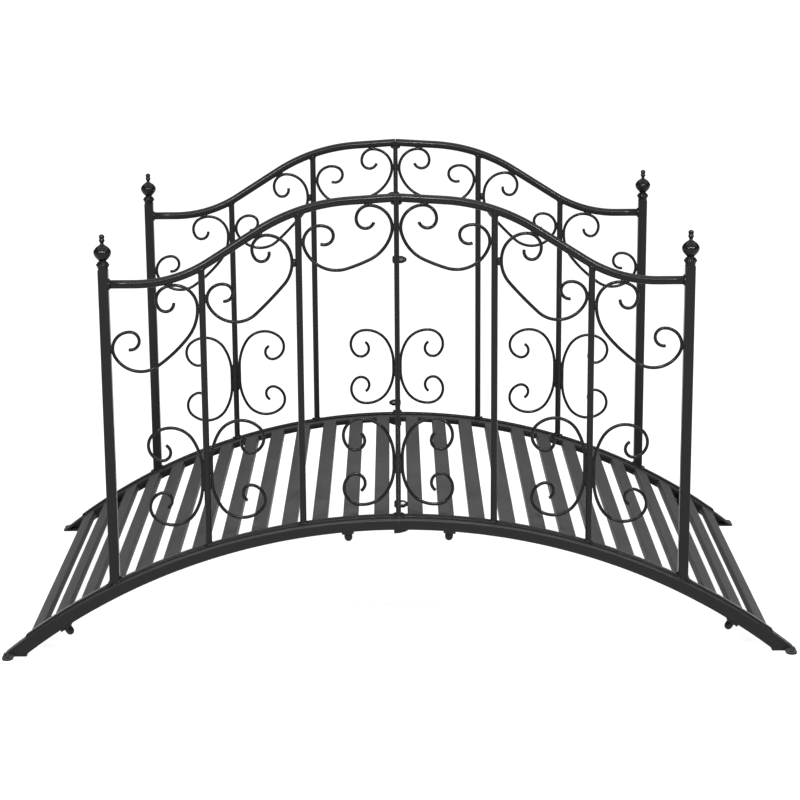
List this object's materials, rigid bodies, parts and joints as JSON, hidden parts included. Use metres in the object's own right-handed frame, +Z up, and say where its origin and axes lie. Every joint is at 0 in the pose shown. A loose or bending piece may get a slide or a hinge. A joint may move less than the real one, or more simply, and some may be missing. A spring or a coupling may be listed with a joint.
{
  "type": "arched garden bridge",
  "caption": "Small arched steel garden bridge with slatted treads, scrollwork railings either side and ball finials on the end posts.",
  "frame": {"origin": "on the ground, under the middle of the bridge", "axes": "+X along the span, +Y across to the back, +Z up"},
  "size_m": [1.2, 0.694, 0.7003],
  "materials": {
    "deck_paint": "satin black powder coat on bent angle and plate",
    "tread_paint": "satin black powder coat on pressed steel treads",
    "railing_paint": "satin black powder coat on tube and bar",
    "scroll_paint": "satin black powder coat on bent rod",
    "finial_paint": "satin black powder coat on a casting",
    "fixings": "blackened steel bolts and nuts"
  },
  "bodies": {
    "root": {"deck_beam_front_right": "deck_paint", "deck_beam_front_left": "deck_paint", "deck_beam_back_left": "deck_paint", "deck_beam_back_right": "deck_paint", "foot_plates": "deck_paint", "crown_lugs": "deck_paint", "clamp_plates": "deck_paint", "treads_left": "tread_paint", "treads_right": "tread_paint", "bottom_bar_front_right": "railing_paint", "bottom_bar_front_left": "railing_paint", "bottom_bar_back_left": "railing_paint", "bottom_bar_back_right": "railing_paint", "end_post_front_right": "railing_paint", "end_post_front_left": "railing_paint", "end_post_back_left": "railing_paint", "end_post_back_right": "railing_paint", "top_rail_front_right": "railing_paint", "top_rail_front_left": "railing_paint", "top_rail_back_left": "railing_paint", "top_rail_back_right": "railing_paint", "crown_bar_front_right": "railing_paint", "crown_bar_front_left": "railing_paint", "crown_bar_back_left": "railing_paint", "crown_bar_back_right": "railing_paint", "balusters_front": "railing_paint", "balusters_back": "railing_paint", "upper_scrolls_front_right": "scroll_paint", "upper_scrolls_front_left": "scroll_paint", "upper_scrolls_back_left": "scroll_paint", "upper_scrolls_back_right": "scroll_paint", "lower_scrolls_front_right": "scroll_paint", "lower_scrolls_front_left": "scroll_paint", "lower_scrolls_back_left": "scroll_paint", "lower_scrolls_back_right": "scroll_paint", "finials": "finial_paint", "clamp_bolts": "fixings", "crown_bolts": "fixings", "crown_nuts": "fixings"}
  },
  "joints": []
}
